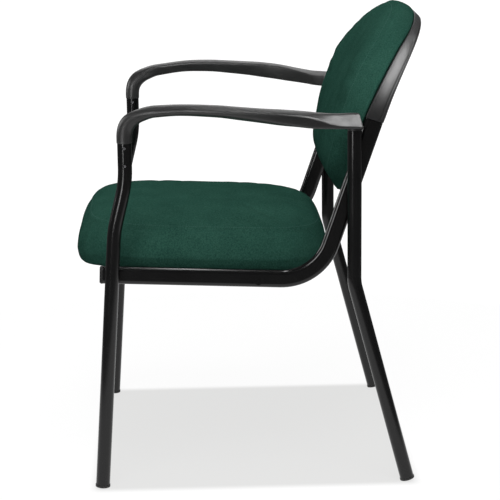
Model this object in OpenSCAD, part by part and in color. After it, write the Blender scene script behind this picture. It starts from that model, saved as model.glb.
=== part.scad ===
// Guest chair with a tubular steel frame, moulded arms and an upholstered seat and back.
// The chair faces -Y, +X is the sitter's left and +Z is up.
// The origin is on the floor, at the centre of the chair's bounding box.

/* [Legs] */
// Outer diameter of the round leg tubes
leg_d = 25; // [24:0.5:26]
// Wall thickness of the leg tubes
leg_wall = 2; // [1.5:0.1:2.2]
// Distance between the centre planes of the left and right legs
leg_span = 570; // [566:1:576]
// Height of the top end of the front leg tube
front_leg_top = 630; // [626:1:630]
// Height of the top end of the rear leg tube
rear_leg_top = 645; // [641:1:645]

/* [Seat frame] */
// Depth of the flat-oval tube that makes the seat rail and the upright
rail_depth = 32; // [30:0.5:32]
// Width of the flat-oval tube
rail_width = 16; // [15:0.5:16]
// Wall thickness of the flat-oval tube
rail_wall = 2; // [1.5:0.1:2.2]
// Centre radius of the bend between the seat rail and the upright
rail_bend_r = 90; // [80:1:95]

/* [Seat] */
// Greatest half width of the seat cushion
seat_half_w = 247; // [240:1:250]
// Half width of the seat cushion at its upper crease
seat_crease_half_w = 214; // [208:1:220]
// Height of the seat crown above the rail's centre line
seat_crown_h = 107; // [101:0.5:109]
// Thickness of the plywood seat board
seat_board_t = 12; // [10:0.5:12]

/* [Back] */
// Half width of the back shell at its shoulders
back_half_w = 272.2; // [270:0.2:272.2]
// Half width of the front panel of the back cushion
back_crease_half_w = 215; // [208:1:222]
// How far the middle of the front panel stands proud of its crease
back_crown = 8; // [4:1:10]

/* [Hidden] */
$fn = 48;

steel_black = [0.09, 0.09, 0.1];
plastic_black = [0.16, 0.16, 0.17];
fabric_green = [0.1, 0.27, 0.21];
plywood = [0.72, 0.56, 0.38];
zinc = [0.62, 0.62, 0.64];

fit_gap = 0.3;
centring = -8;
leg_x = leg_span / 2;

// Routes in the side plane as [y, z], from the floor up or from the front back
front_route = [[-272.5, 0], [-238.5, 474], [-216.8, 561], [-216.8, front_leg_top]];
front_bends = [200, 200];
rear_knee = [183.8, 372];
rear_route = [[282.1, 0], rear_knee, [rear_knee.x, rear_leg_top]];
rear_bends = [75];

// Foot glides
glide_d = 26.5;
glide_dome_r = 30;
glide_flat = 0.4;
glide_head = 7.5;
glide_plug = 24;

// Seat rail and upright
rail_x = leg_x - leg_d / 2 - rail_width / 2 - fit_gap;
rail_slope = 0.0437;
rail_front_y = -262;
function rail_z(y) = 389.4 - rail_slope * (y + 224.5);
rail_tilt = -atan(rail_slope);
rail_corner = [120.6, rail_z(120.6)];
upright_lean = 0.35;
upright_top_z = 658.5;
upright_top = [rail_corner.x + upright_lean * (upright_top_z - rail_corner.y), upright_top_z];
rail_route = [[rail_front_y, rail_z(rail_front_y)], rail_corner, upright_top];
upright_angle = atan(1 / upright_lean);

// Crossbars
bar_w = 30;
bar_h = 14;
bar_wall = 1.5;
bar_top_h = 1;
front_bar_y = -195;
rear_bar_y = 14;
bar_len = 2 * (rail_x - rail_width / 2);

// Armrest screws as heights on the front and rear leg tubes
outer_screw_z = [622, 591];
inner_screw_z = 622;
rear_screw_z = 626;
screw_head_d = 5.4;
screw_head_t = 1;
screw_d = 3.2;
screw_len = 9;
screw_seat = leg_d / 2 - 1.2;
spigot_d = leg_d - 2 * leg_wall - 2 * fit_gap;
front_spigot_z = 576;
rear_spigot_z = 605;

// Seat cushion
seat_mid_y = -83.5;
seat_half_l = 233.5;
seat_crease_mid_y = -77;
seat_crease_half_l = 218.5;
seat_crease_h = 78.4;
seat_rim_h = 32;
seat_bottom_h = 7;
seat_board_inset = 16;
seat_board_h = 2;

// Seat fasteners
seat_bolt_x = 165;
seat_bolt_d = 6;
tee_nut_d = 19;

// Side profile of the back's front panel, by height: forward at the lumbar, swept back above
lumbar_z = 556;
lumbar_y = 148;
upper_sweep = 0.00166;
lower_tuck = 0.0075;
back_mid_s = 665;
back_top_s = 842;
back_foot_s = 499;
shell_mid_s = 679;
shell_top_s = 853;
shell_foot_s = 492;
lip_depth = 34.5;
lip_fall = 3.5;
lip_fall_s = 835;
lip_foot_rise = 4;
shell_depth_low = 68;
shell_depth_top = 57;
shell_depth_foot = 45;
groove_depth_low = 59;
groove_depth_top = 52;
groove_depth_foot = 41;
shoulder_inner_w = 253;
cushion_back_depth = 34;
back_board_front = 29;
back_board_t = 8;
peg_len = 58;
back_screw_x = 120;
back_screw_s = [605, 770];

// Number of points round each soft form
ring_n = 64;

// Moves a piece so that the origin is under the centre of the chair's bounding box
module centred() {
    translate([0, centring, 0]) children();
}

// Helpers for routes of straight runs and round bends

function heading(a, b) = atan2(b.y - a.y, b.x - a.x);
function wrap(a) = a > 180 ? a - 360 : a < -180 ? a + 360 : a;
function route_turn(p, i) = wrap(heading(p[i], p[i + 1]) - heading(p[i - 1], p[i]));
function route_cut(p, r, i) =
    i == 0 || i == len(p) - 1 ? 0 : r[i - 1] * tan(abs(route_turn(p, i)) / 2);

// Turns a drawing in the XY plane into the side plane, with its Z along +X
module side_plane() {
    rotate([90, 0, 90]) children();
}

function snap(v) = round(v * 100) / 100;
function run_length(p, r, i) =
    snap(norm(p[i + 1] - p[i]) - route_cut(p, r, i) - route_cut(p, r, i + 1));

// A tube of the child profile along the route p, with the bend radii r.
// The local Z axis runs along the tube and the local X axis points to its left.
module bent_tube(p, r) {
    side_plane() translate([p[0].x, p[0].y, 0])
        rotate([0, 0, snap(heading(p[0], p[1])) + 90])
            rotate([90, 0, 0])
                tube_run(p, r, 0) children();
}

// Run i of the tube, then the bend at its end and the rest of the tube beyond
module tube_run(p, r, i) {
    run = run_length(p, r, i);
    linear_extrude(run) children();
    if (i < len(p) - 2) {
        turn = snap(route_turn(p, i + 1));
        shift = sign(turn) * r[i];
        translate([shift, 0, run]) {
            tube_bend(r[i], turn) children();
            rotate([0, turn, 0]) translate([-shift, 0, 0]) tube_run(p, r, i + 1) children();
        }
    }
}

// A bend about the origin, cut from a full ring by its two end planes
module tube_bend(r, turn) {
    reach = r + 20;
    intersection() {
        rotate([-90, 0, 0]) rotate_extrude($fn = 144) translate([r, 0]) children();
        translate([-reach, -20, 0]) cube([2 * reach, 40, reach]);
        rotate([0, turn, 0]) translate([-reach, -20, -reach]) cube([2 * reach, 40, reach]);
    }
}

module ring_profile(d, wall) {
    difference() {
        circle(d = d);
        circle(d = d - 2 * wall);
    }
}

module oval(depth, width) {
    square([depth - width, width], center = true);
    for (s = [-1, 1]) translate([s * (depth - width) / 2, 0]) circle(d = width);
}

module oval_ring(depth, width, wall) {
    difference() {
        oval(depth, width);
        oval(depth - 2 * wall, width - 2 * wall);
    }
}

// Places a child at side-plane point p, its Z axis along the direction at angle a
module aim(p, a, x = 0) {
    translate([x, p.x, p.y]) rotate([90 - a, 0, 180]) children();
}

// Draws the child on the left or mirrors it to the right
module on_side(left) {
    if (left) children();
    else mirror([1, 0, 0]) children();
}

// Helpers for closed forms made of rings of points

function ring_faces(rings, n) = [
    for (i = [0 : rings - 2], j = [0 : n - 1]) each [
        [1 + i * n + j, 1 + (i + 1) * n + (j + 1) % n, 1 + i * n + (j + 1) % n],
        [1 + i * n + j, 1 + (i + 1) * n + j, 1 + (i + 1) * n + (j + 1) % n]
    ]
];
function fan_faces(tip, first, n, at_end) = [
    for (j = [0 : n - 1])
        at_end ? [tip, first + (j + 1) % n, first + j] : [tip, first + j, first + (j + 1) % n]
];
function flip_all(f) = [for (t = f) [t[0], t[2], t[1]]];

// A closed solid from one end point through rings of points to the other end point.
// The rings run anticlockwise about the way from start to finish, or else clockwise is set.
module ringed_solid(start, rings, finish, clockwise = false) {
    n = len(rings[0]);
    last = 1 + len(rings) * n;
    points = [start, for (r = rings) each r, finish];
    faces = concat(
        fan_faces(0, 1, n, false),
        ring_faces(len(rings), n),
        fan_faces(last, 1 + (len(rings) - 1) * n, n, true)
    );
    polyhedron(points, clockwise ? flip_all(faces) : faces, convexity = 8);
}

function power(v, n) = sign(v) * pow(abs(v), n);
function mix(a, b, t) = a * (1 - t) + b * t;

// Legs

module tube_screw_cut(z, y, outer) {
    side = outer ? 1 : -1;
    translate([leg_x, y, z]) rotate([0, side * 90, 0]) {
        cylinder(d = screw_d + 0.3, h = leg_d);
        translate([0, 0, screw_seat]) cylinder(d = screw_head_d + 0.4, h = 3);
    }
}

// How far a leg leans back from upright at its foot
function foot_lean(p) = 90 - heading(p[0], p[1]);

module leg(p, r) {
    foot = p[0];
    start = glide_head - glide_flat;
    cut = [[foot.x + start * tan(foot_lean(p)), start], each [for (i = [1 : len(p) - 1]) p[i]]];
    bent_tube(cut, r) ring_profile(leg_d, leg_wall);
}

module front_leg(left) {
    color(steel_black) centred() on_side(left) difference() {
        translate([leg_x, 0, 0]) leg(front_route, front_bends);
        for (z = outer_screw_z) tube_screw_cut(z, front_route[2].x, true);
        tube_screw_cut(inner_screw_z, front_route[2].x, false);
    }
}

module rear_leg(left) {
    color(steel_black) centred() on_side(left) difference() {
        translate([leg_x, 0, 0]) leg(rear_route, rear_bends);
        tube_screw_cut(rear_screw_z, rear_knee.x, false);
    }
}

module glide(p) {
    lean = foot_lean(p);
    y = p[0].x;
    axis_y = y + (glide_dome_r - glide_flat) * tan(lean);
    head_top = (glide_dome_r - glide_head) / cos(lean) + fit_gap;
    intersection() {
        translate([leg_x, axis_y, glide_dome_r - glide_flat])
            rotate([180 - lean, 0, 0]) {
                intersection() {
                    sphere(r = glide_dome_r, $fn = 96);
                    translate([0, 0, head_top]) cylinder(d = glide_d, h = glide_dome_r);
                }
                translate([0, 0, head_top - glide_plug])
                    cylinder(d = leg_d - 2 * leg_wall - fit_gap, h = glide_plug + 1);
            }
        translate([leg_x - 50, y - 60, 0]) cube([100, 120, 100]);
    }
}

module front_glide(left) {
    color(plastic_black) centred() on_side(left) glide(front_route);
}

module rear_glide(left) {
    color(plastic_black) centred() on_side(left) glide(rear_route);
}

// Seat frame

module seat_rail(left) {
    color(steel_black) centred() on_side(left) difference() {
        translate([rail_x, 0, 0])
            bent_tube(rail_route, [rail_bend_r]) oval_ring(rail_depth, rail_width, rail_wall);
        translate([0, rear_bar_y, rail_z(rear_bar_y) + bar_top_h - bar_h / 2])
            rotate([0, 90, 0]) cylinder(d = seat_bolt_d + 0.4, h = leg_x);
        peg_screw_axis() translate([0, 0, -20]) cylinder(d = screw_d + 0.3, h = 20);
    }
}

module rail_cap(left) {
    head = 5.5;
    color(plastic_black) centred() on_side(left)
        aim([rail_front_y, rail_z(rail_front_y)], 180 + rail_tilt, rail_x) {
            rotate([0, 0, 90]) {
                linear_extrude(head - 2.5) oval(rail_depth + 0.8, rail_width + 0.8);
                translate([0, 0, head - 2.5]) linear_extrude(1.7) oval(rail_depth - 0.8, rail_width - 0.8);
                translate([0, 0, head - 0.8]) linear_extrude(0.8) oval(rail_depth - 3.5, rail_width - 3.5);
                translate([0, 0, -18]) linear_extrude(18.5)
                    oval(rail_depth - 2 * rail_wall - fit_gap, rail_width - 2 * rail_wall - fit_gap);
            }
        }
}

// Lays a child in the seat's own plane: Z is the height above the rail's centre line at y
module seat_plane(y) {
    translate([0, y, rail_z(y)]) rotate([rail_tilt, 0, 0]) children();
}

module crossbar(y) {
    color(steel_black) centred() seat_plane(y) difference() {
        translate([-bar_len / 2, -bar_w / 2, bar_top_h - bar_h]) cube([bar_len, bar_w, bar_h]);
        translate([-bar_len / 2 - 1, -bar_w / 2 + bar_wall, bar_top_h - bar_h + bar_wall])
            cube([bar_len + 2, bar_w - 2 * bar_wall, bar_h - 2 * bar_wall]);
        for (s = [-1, 1]) translate([s * seat_bolt_x, 0, -bar_h - 5])
            cylinder(d = seat_bolt_d + 0.5, h = bar_h + 10);
    }
}

// Bolts that hold the rear crossbar, with the threaded block inside each of its ends
module crossbar_bolts() {
    head_d = 10;
    head_t = 1.2;
    block = 22;
    color(steel_black) centred() for (s = [0, 1]) mirror([s, 0, 0])
        translate([0, rear_bar_y, rail_z(rear_bar_y) + bar_top_h - bar_h / 2])
            rotate([0, 90, 0]) {
                translate([0, 0, rail_x + rail_width / 2]) cylinder(d = head_d, h = head_t);
                translate([0, 0, bar_len / 2 - block])
                    cylinder(d = seat_bolt_d, h = block + rail_width + 2 * fit_gap);
                translate([-4.5, -12, bar_len / 2 - block]) cube([9, 24, block - 1]);
            }
}

// Armrests

// The arms bow outwards between their legs. Each station holds: origin y and z of the section
// plane, its turn from level (0) to upright (90), inner and outer x, top inner and outer, bottom
// inner and outer as distances from the origin, corner size, how far the bottom corners are
// drawn in, and the x, distance and corner size of the crown between the two top edges.
sleeve_in = 40.3;
sleeve_out = sleeve_in + 27;
arm_stations = [
    [-163, 630.5, 0, 271.5, 298.5, sleeve_out, sleeve_out, sleeve_in, sleeve_in, 12.6, 0,
        285, sleeve_out, 0.6],
    [-163, 636, 0, 271.5, 298.5, sleeve_out, sleeve_out, sleeve_in, sleeve_in, 12.6, 0,
        285, sleeve_out, 0.6],
    [-163, 639, 12, 271.8, 299.3, 67, 67.2, 39.8, 40.4, 12.3, 0, 285.5, 67.6, 0.8],
    [-163, 639, 25, 272.5, 301.5, 65.2, 65.8, 38.4, 40, 11.5, 0.5, 287.5, 67.6, 2],
    [-163, 639, 37, 274, 305, 60, 62.4, 36.3, 39.6, 10, 1, 290.5, 66.2, 3.5],
    [-163, 639, 50, 276, 309.5, 55.8, 57.6, 34.4, 39, 8, 1.5, 294.5, 62.6, 5.5],
    [-163, 639, 63, 279, 314, 55, 53, 33, 38.6, 6.5, 2, 298.5, 59.6, 7.5],
    [-163, 639, 77, 282, 318, 54.4, 50.6, 33.2, 39.6, 5.5, 2.5, 301.5, 58.6, 8.5],
    [-160, 639, 90, 285, 322, 55.4, 50.6, 34.8, 40.8, 5, 3, 304.5, 59.5, 9],
    [-130, 639, 90, 295.5, 333.5, 57.5, 53.4, 38.3, 44.8, 4.5, 3, 315, 62.1, 9],
    [-105, 639, 90, 305, 344, 58.2, 55, 39.3, 46.7, 4.5, 3, 325, 63.4, 9],
    [-80, 639, 90, 311, 351, 57.8, 54.8, 38.5, 46.8, 4.5, 3, 331, 63.5, 9],
    [-50, 639, 90, 316, 357, 56.8, 53.9, 36.7, 45.6, 4.5, 3, 336.5, 62.4, 9],
    [-20, 639, 90, 320.5, 361.5, 54.9, 52.3, 32.9, 42.4, 4.5, 3, 341, 60, 9],
    [20, 639, 90, 324, 365, 52, 50.3, 27.7, 36.6, 4.5, 3, 344.5, 56.8, 9],
    [50, 639, 90, 323, 363.5, 50.2, 48.5, 23.1, 30.9, 4.5, 3, 343.5, 54.6, 9],
    [80, 639, 90, 317.5, 358.5, 47, 44.8, 19.2, 25.4, 4.3, 3, 338.5, 51.4, 9],
    [100, 639, 90, 310, 352.5, 43.9, 40.7, 16.8, 21, 4, 3, 333, 48.4, 8.5],
    [120, 639, 90, 300, 344, 39.4, 33.2, 15, 18.4, 3.6, 2.6, 325.5, 45.1, 8],
    [140, 639, 90, 287, 333.5, 34.8, 23.6, 13.4, 16.4, 2.8, 2.2, 316, 42.2, 7],
    [158, 639, 90, 274, 322, 31.6, 18.6, 11.6, 14.2, 2.2, 2, 305.5, 40.2, 6],
    [200, 639, 74, 264, 306, 32, 15, 9, 11.5, 1.8, 1, 293, 40.2, 5]
];
arm_steps = 2;

function spline(a, b, c, d, t) =
    0.5 * (2 * b + (c - a) * t + (2 * a - 5 * b + 4 * c - d) * t * t
        + (3 * b - a - 3 * c + d) * t * t * t);
function arm_station(i) = arm_stations[max(0, min(len(arm_stations) - 1, i))];
function arm_at(i, t) =
    spline(arm_station(i - 1), arm_station(i), arm_station(i + 1), arm_station(i + 2), t);

// A rounded corner at p between the neighbours a and b, as four points of a conic
function corner(a, p, b, r) = [
    for (t = [0, 0.33, 0.67, 1])
        let (
            from = p + r * (a - p) / norm(a - p),
            to = p + r * (b - p) / norm(b - p),
            w = 2 * 0.7071 * t * (1 - t),
            k = pow(1 - t, 2) + w + t * t
        )
        (pow(1 - t, 2) * from + w * p + t * t * to) / k
];

function arm_section(s) =
    let (
        q = [
            [s[3], s[5]], [s[11], s[12]], [s[4], s[6]], [s[4] - s[10], s[8]], [s[3] + s[10], s[7]]
        ],
        r = [s[9], s[13], s[9], s[9], s[9]]
    )
    [
        for (i = [0 : 4]) for (c = corner(q[(i + 4) % 5], q[i], q[(i + 1) % 5], r[i]))
            [c.x, s[0] - c.y * cos(s[2]), s[1] + c.y * sin(s[2])]
    ];
function centre_of(ring) = [for (k = [0 : 2]) mean([for (p = ring) p[k]])];
function mean(v) = v * [for (i = v) 1] / len(v);

arm_last = len(arm_stations) - 1;
arm_end_inset = [1.5, 0, 0, 2, -2, -1.8, -1.2, 1.6, 0.8, -0.9, 0, 0, -2, -0.5];
arm_rings = [
    for (i = [0 : arm_last - 1], k = [0 : arm_steps - 1]) arm_section(arm_at(i, k / arm_steps)),
    arm_section(arm_station(arm_last)),
    arm_section(arm_station(arm_last) + arm_end_inset)
];

module spigot_screw_cut(z, y, outer) {
    side = outer ? 1 : -1;
    translate([leg_x, y, z]) rotate([0, side * 90, 0]) cylinder(d = screw_d - 0.6, h = leg_d);
}

module armrest(left) {
    front_y = front_route[2].x;
    color(plastic_black) centred() on_side(left) difference() {
        union() {
            ringed_solid(centre_of(arm_rings[0]), arm_rings, centre_of(arm_rings[len(arm_rings) - 1]));
            translate([leg_x, front_y, front_spigot_z])
                cylinder(d = spigot_d, h = front_leg_top - front_spigot_z + 15);
            translate([leg_x, rear_knee.x, rear_spigot_z])
                cylinder(d = spigot_d, h = rear_leg_top - rear_spigot_z + 12);
            translate([leg_x, rear_knee.x, rear_leg_top + fit_gap]) cylinder(d = leg_d, h = 9);
        }
        for (z = outer_screw_z) spigot_screw_cut(z, front_y, true);
        spigot_screw_cut(inner_screw_z, front_y, false);
        spigot_screw_cut(rear_screw_z, rear_knee.x, false);
    }
}

// A low screw head with a cross recess, standing on the XY plane
module cross_head(d, t) {
    slot = 0.6 * d;
    difference() {
        cylinder(d1 = d, d2 = d - 0.8 * t, h = t);
        for (a = [0, 90]) rotate([0, 0, a])
            translate([-slot / 2, -d / 18, 0.4 * t]) cube([slot, d / 9, t]);
    }
}

module armrest_screw(z, y, outer) {
    side = outer ? 1 : -1;
    translate([leg_x, y, z]) rotate([0, side * 90, 0]) {
        translate([0, 0, screw_seat - screw_len]) cylinder(d = screw_d - 0.7, h = screw_len + 0.3);
        translate([0, 0, screw_seat]) cross_head(screw_head_d, screw_head_t);
    }
}

module armrest_screws(left) {
    front_y = front_route[2].x;
    color(zinc) centred() on_side(left) {
        for (z = outer_screw_z) armrest_screw(z, front_y, true);
        armrest_screw(inner_screw_z, front_y, false);
        armrest_screw(rear_screw_z, rear_knee.x, false);
    }
}

// Seat

// Outline of the seat at angle a, as [x, y] in the seat plane
function seat_outline(a, half_w, half_l, grow = 0, mid_y = seat_mid_y) =
    let (n = 2 / 3.8)
    [
        (half_w + grow) * power(cos(a), n),
        mid_y + (half_l + grow) * power(sin(a), n)
    ];
function seat_edge(a, grow = 0) = seat_outline(a, seat_half_w, seat_half_l, grow);
function seat_crease_outline(a, grow = 0) =
    seat_outline(a, seat_crease_half_w, seat_crease_half_l, grow, seat_crease_mid_y);
function seat_front(a) = pow(max(0, -sin(a)), 3);
function seat_rear(a) = pow(max(0, sin(a)), 3);
function seat_point(p, h) = [p.x, p.y, rail_z(p.y) + h];

// Height of the crease, which drops a little at the front and more at the rear
function seat_crease(a) = seat_crease_h - 5.5 * seat_front(a) - 8 * seat_rear(a);
// Heights of the widest line and of the underside's edge, both lower at the front
function seat_rim(a) = seat_rim_h - 16 * seat_front(a);
function seat_under(a) = seat_bottom_h - 15 * seat_front(a);
function seat_dome(a, rho) =
    let (
        p = 2.4 + 2 * seat_front(a) + 1.5 * seat_rear(a),
        q = 1.15 + 0.4 * seat_front(a) + 0.4 * seat_rear(a)
    )
    pow(1 - pow(rho, p), 1 / q);
// The crown falls away a little towards the front
function seat_fall(a, rho) = 4 * seat_front(a) * smooth(rho, 0.05, 0.65);
function seat_crown_point(a, rho) =
    let (
        edge = seat_crease_outline(a),
        p = [edge.x * rho, mix(seat_crease_mid_y, edge.y, rho)]
    )
    seat_point(p, mix(seat_crease(a), seat_crown_h - seat_fall(a, rho), seat_dome(a, rho)));
// Point of the side band: t runs from the widest line (0) up to the crease (1)
function seat_band_point(a, t, puff) =
    let (
        low = seat_edge(a, puff),
        high = seat_crease_outline(a, 1 + puff)
    )
    seat_point(mix(low, high, t * t * 0.6 + t * 0.4), mix(seat_rim(a), seat_crease(a) - 3, t));

function seat_ring(f) = [for (j = [0 : ring_n - 1]) f(j * 360 / ring_n)];
seat_board_grow = -seat_board_inset + 3 * fit_gap;
seat_foam_h = seat_board_h + seat_board_t + fit_gap;
seat_rings = [
    each [
        for (h = [seat_foam_h, seat_bottom_h - 4]) seat_ring(function (a)
            seat_point(seat_edge(a, seat_board_grow), h)
        )
    ],
    seat_ring(function (a) seat_point(seat_edge(a, -7), seat_under(a))),
    seat_ring(function (a) seat_point(seat_edge(a, -2.5), seat_under(a) + 5)),
    seat_ring(function (a) seat_point(seat_edge(a), seat_rim(a) - 8)),
    seat_ring(function (a) seat_band_point(a, 0, 0)),
    seat_ring(function (a) seat_band_point(a, 0.35, 1)),
    seat_ring(function (a) seat_band_point(a, 0.7, 1)),
    seat_ring(function (a) seat_band_point(a, 1, 0)),
    seat_ring(function (a) seat_crown_point(a, 1)),
    each [
        for (rho = [0.985, 0.955, 0.9, 0.8, 0.6, 0.3])
            seat_ring(function (a) seat_crown_point(a, rho))
    ]
];

module seat_cushion() {
    color(fabric_green) centred() ringed_solid(
        seat_point([0, seat_mid_y], seat_foam_h),
        seat_rings,
        seat_point([0, seat_crease_mid_y], seat_crown_h)
    );
}

module seat_plate(grow, top, t) {
    seat_plane(seat_mid_y) translate([0, -seat_mid_y, top - t]) linear_extrude(t)
        polygon([for (j = [0 : ring_n - 1]) seat_edge(j * 360 / ring_n, grow)]);
}

module seat_board() {
    color(plywood) centred() difference() {
        seat_plate(-seat_board_inset, seat_board_h + seat_board_t, seat_board_t);
        seat_bolt_places() translate([0, 0, -5]) cylinder(d = seat_bolt_d + 2, h = 40);
        seat_bolt_places() translate([0, 0, seat_board_h + seat_board_t - 1.5])
            cylinder(d = tee_nut_d + 0.4, h = 5);
    }
}

module seat_dust_cover() {
    color(plastic_black) centred() difference() {
        seat_plate(-seat_board_inset - 6, seat_board_h - 0.1, 0.8);
        seat_bolt_places() translate([0, 0, -5]) cylinder(d = seat_bolt_d + 2, h = 10);
    }
}

module seat_bolt_places() {
    for (y = [front_bar_y, rear_bar_y], s = [-1, 1])
        seat_plane(y) translate([s * seat_bolt_x, 0, 0]) children();
}

module seat_bolts() {
    under = bar_top_h - bar_h;
    color(zinc) centred() seat_bolt_places() {
        translate([0, 0, under - 4]) cylinder(d = 10, h = 4, $fn = 6);
        translate([0, 0, under - 0.5]) cylinder(d = seat_bolt_d, h = 24);
    }
}

module seat_tee_nuts() {
    top = seat_board_h + seat_board_t;
    color(zinc) centred() seat_bolt_places() difference() {
        union() {
            translate([0, 0, top - 1.5]) cylinder(d = tee_nut_d, h = 1.4);
            translate([0, 0, top - 9]) cylinder(d = seat_bolt_d + 1.8, h = 8);
        }
        translate([0, 0, top - 20]) cylinder(d = seat_bolt_d + 0.1, h = 30);
    }
}

// Back

function panel_y(s) =
    lumbar_y + (s > lumbar_z ? upper_sweep : lower_tuck) * pow(s - lumbar_z, 2);
function panel_angle(s) = s > lumbar_z ? atan(2 * upper_sweep * (s - lumbar_z)) : 0;
// Point at side position x, panel height s and depth d behind the front panel
function back_point(x, s, d) =
    [x, panel_y(s) + d * cos(panel_angle(s)), s - d * sin(panel_angle(s))];

// Half width is drawn in a little where the back narrows below the shoulders
function waist(t, amount) = t < 0.7 ? amount * pow(sin(t / 0.7 * 180), 2) : 0;
function back_oval(a, half_w, mid, top, foot, n_up, n_down, narrow) =
    let (
        up = sin(a) > 0,
        n = 2 / (up ? n_up : n_down),
        t = power(sin(a), n),
        x = half_w * power(cos(a), n)
    )
    [
        sign(x) * max(0, abs(x) - (up ? 0 : waist(-t, narrow))),
        mid + t * (up ? top - mid : mid - foot)
    ];
function crease_line(a, grow = 0) =
    let (w = back_crease_half_w + grow)
    back_oval(a, w, back_mid_s, back_top_s + grow, back_foot_s - grow, 2.3, 2.4, 10);
function cushion_line(a, grow = 0) =
    let (w = back_half_w - 8 + grow)
    back_oval(a, w, shell_mid_s, shell_top_s + 0.5 + grow, shell_foot_s + 3 - grow, 2, 2.3, 10);

// Depth that is steady about the shoulders and falls to other values at the top and the foot
function back_depth(s, middle, top, foot) =
    s > 690 ? mix(middle, top, min(1, (s - 690) / (shell_top_s - 690)))
    : s < 640 ? mix(middle, foot, min(1, (640 - s) / 110))
    : middle;

function back_ring(f) = [for (j = [0 : ring_n - 1]) f(j * 360 / ring_n)];
function at_depth(p, d) = back_point(p.x, p.y, d);
// The upper half is puffed out more than the lower half, most of all near its crease
function smooth(v, a, b) = let (t = max(0, min(1, (v - a) / (b - a)))) t * t * (3 - 2 * t);
function upper_puff(rho) = (back_crown + 5.5 * smooth(rho, 0.4, 0.8)) * (1 - pow(rho, 12));
// The cushion's front is fuller at the lumbar line and drawn in below it
function front_form(s) = 3.2 * exp(-pow((s - 566) / 26, 2)) - 3.8 * exp(-pow((s - 524) / 14, 2));
function at_front(p, d, share = 1) = at_depth(p, d - share * front_form(p.y));
function crown_point(a, rho) =
    let (
        edge = crease_line(a),
        s = mix(back_mid_s, edge.y, rho),
        up = min(1, 2.5 * max(0, sin(a))),
        proud = mix(back_crown * (1 - rho * rho), upper_puff(rho), up)
    )
    at_front([edge.x * rho, s], 1.5 - proud - 1.5 * pow(rho, 8));

foam_depth = back_board_front - fit_gap;
function scaled_point(p, k) = [p.x * k, mix(back_mid_s, p.y, k)];
// The shell's lip and the cushion's rear edge lie further back near the top and forward at the foot
function lip_shift(s) =
    lip_fall * exp(-pow((s - lip_fall_s) / 25, 2)) - lip_foot_rise * smooth(540 - s, 0, 30);
function rear_edge(p, d) = at_depth(p, d + lip_shift(p.y));
back_cushion_rings = [
    each [
        for (k = [0.3, 0.6, 0.85])
            back_ring(function (a) at_depth(scaled_point(cushion_line(a, -20), k), foam_depth))
    ],
    back_ring(function (a) at_depth(cushion_line(a, -20), foam_depth)),
    back_ring(function (a) at_depth(cushion_line(a, -20), cushion_back_depth + 1)),
    back_ring(function (a) rear_edge(cushion_line(a, -9), cushion_back_depth)),
    back_ring(function (a) rear_edge(cushion_line(a, -2), cushion_back_depth - 0.8)),
    back_ring(function (a) rear_edge(cushion_line(a), cushion_back_depth - 4.8)),
    back_ring(function (a) at_depth(mix(cushion_line(a, 2), crease_line(a, 2), 0.28), 21)),
    back_ring(function (a) at_front(mix(cushion_line(a, 2.5), crease_line(a, 2.5), 0.62), 10, 0.6)),
    back_ring(function (a) at_front(crease_line(a, 3.5), 2.5)),
    back_ring(function (a) at_front(crease_line(a, 0.8), 1.6)),
    each [
        for (rho = [0.985, 0.95, 0.88, 0.75, 0.5, 0.25]) back_ring(function (a) crown_point(a, rho))
    ]
];

module back_cushion() {
    color(fabric_green) centred() ringed_solid(
        back_point(0, back_mid_s, foam_depth),
        back_cushion_rings,
        crown_point(0, 0)
    );
}

// Outline of the shell: the upper arch ends at the shoulders, where it steps in to the lower part
arch_n = 38;
skirt_n = 25;
function arch_point(a, w, half_w, n_up) =
    back_oval(a, half_w - w, shell_mid_s, shell_top_s - w, shell_foot_s, n_up, 2, 0) + [0, 0.01];
function skirt_point(a, w) =
    back_oval(a, shoulder_inner_w - w, shell_mid_s, shell_top_s, shell_foot_s + w, 2, 2.3, 8);
function shell_line(w, half_w = back_half_w, n_up = 2) = [
    for (j = [0 : arch_n]) arch_point(j * 180 / arch_n, w, half_w, n_up),
    for (j = [0 : skirt_n]) skirt_point(180 + j * 180 / skirt_n, w)
];
shell_outline = shell_line(0);
cavity_outline = shell_line(4, 256, 2.3);

// The shoulders' underside is square to the uprights, which lean less than the panel there
shoulder_tilt = 0.05;
function shell_point(p, d) =
    back_point(p.x, p.y + shoulder_tilt * (d - 50) * max(0, 1 - abs(p.y - shell_mid_s) / 60), d);
function shell_ring(line, d) = [for (p = line) shell_point(p, d(p.y))];
function scaled_line(line, k) = [for (p = line) scaled_point(p, k)];
function rear_depth(s) = back_depth(s, shell_depth_low, shell_depth_top, shell_depth_foot);
function groove_depth(s) = back_depth(s, groove_depth_low, groove_depth_top, groove_depth_foot);
shell_wall = 3;
shell_bulge = 4;

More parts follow.
